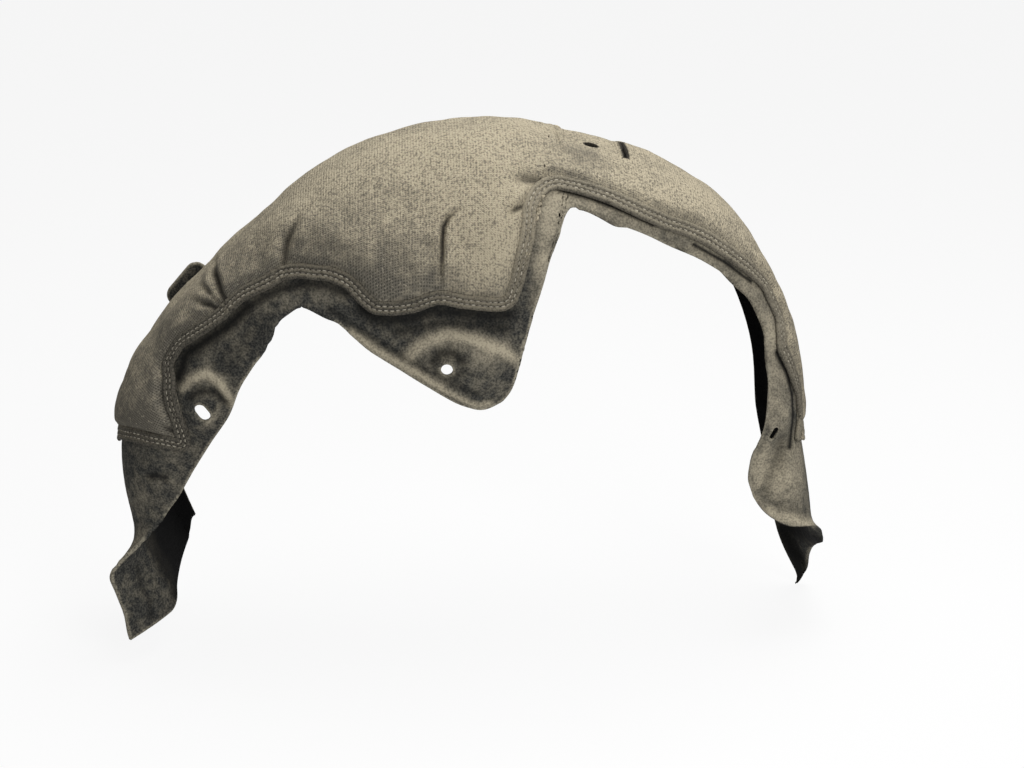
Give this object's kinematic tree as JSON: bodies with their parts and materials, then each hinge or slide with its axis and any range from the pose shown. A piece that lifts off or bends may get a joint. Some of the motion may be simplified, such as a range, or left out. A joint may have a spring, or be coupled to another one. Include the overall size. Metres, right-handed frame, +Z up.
{
  "type": "wheel arch liner",
  "caption": "Arched felt wheel arch liner with a deep inboard flap, out-turned feet, fixing holes and a padded absorber sewn over its outer face.",
  "frame": {"origin": "centre of the flap's fixing hole on the outer, body-side face of the inboard wall", "axes": "+X along the car towards the front foot, +Y outboard along the wheel axis, +Z up"},
  "size_m": [0.8045, 0.225, 0.5922],
  "materials": {
    "felt": "needle-punched felt, dusty",
    "pad_cover": "fine woven cover over wadding, dusty"
  },
  "bodies": {
    "root": {"liner_shell": "felt", "absorber_pad": "pad_cover"}
  },
  "joints": []
}
